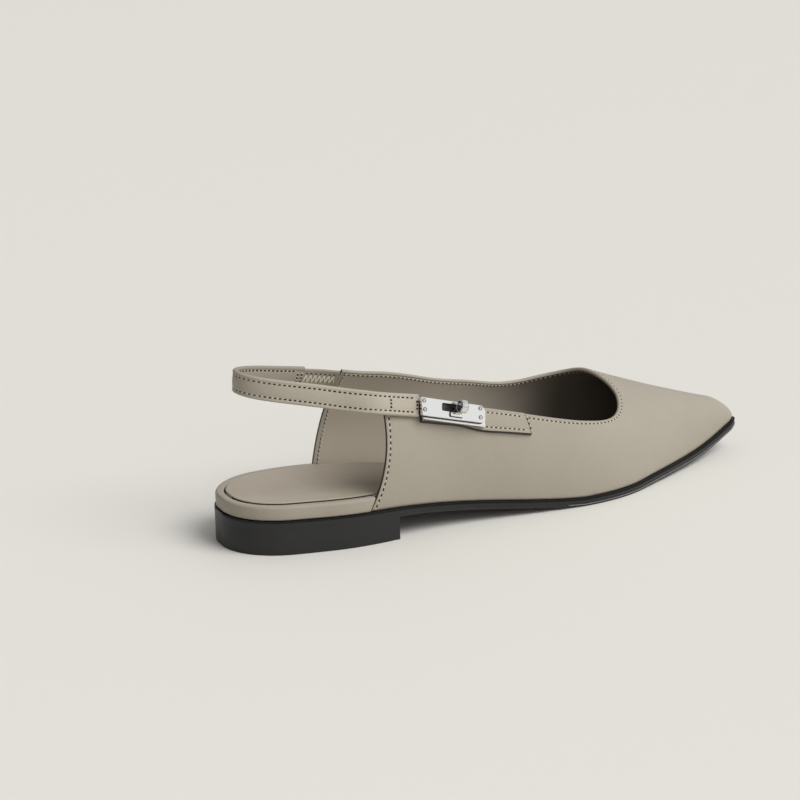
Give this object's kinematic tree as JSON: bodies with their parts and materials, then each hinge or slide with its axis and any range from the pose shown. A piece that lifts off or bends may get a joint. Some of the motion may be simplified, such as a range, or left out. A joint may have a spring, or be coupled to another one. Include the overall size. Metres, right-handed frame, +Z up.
{
  "type": "sling back flat shoe",
  "caption": "Pointed low flat shoe for a right foot, open at the heel, with a strap round the heel that ends in a turn lock and a stretch piece.",
  "frame": {"origin": "under the middle of the shoe's box, on the plane that the heel and the forefoot stand on", "axes": "+X from the heel to the toe, +Y towards the medial (inner) side, +Z up"},
  "size_m": [0.2576, 0.077, 0.0776],
  "materials": {
    "black_sole": "satin black sole and heel",
    "taupe_leather": "smooth satin leather",
    "taupe_lining": "soft lining leather",
    "taupe_elastic": "woven stretch band with zigzag stitches",
    "polished_metal": "polished nickel plate"
  },
  "bodies": {
    "root": {"heel_block": "black_sole", "outsole": "black_sole", "footbed": "taupe_leather", "insole": "taupe_lining", "upper": "taupe_leather", "strap_tab": "taupe_leather", "heel_strap": "taupe_leather", "elastic": "taupe_elastic", "lock_plate": "polished_metal", "lock_base": "polished_metal", "lock_knob": "polished_metal", "lock_screw_1": "polished_metal", "lock_screw_2": "polished_metal", "lock_screw_3": "polished_metal", "lock_screw_4": "polished_metal"}
  },
  "joints": []
}
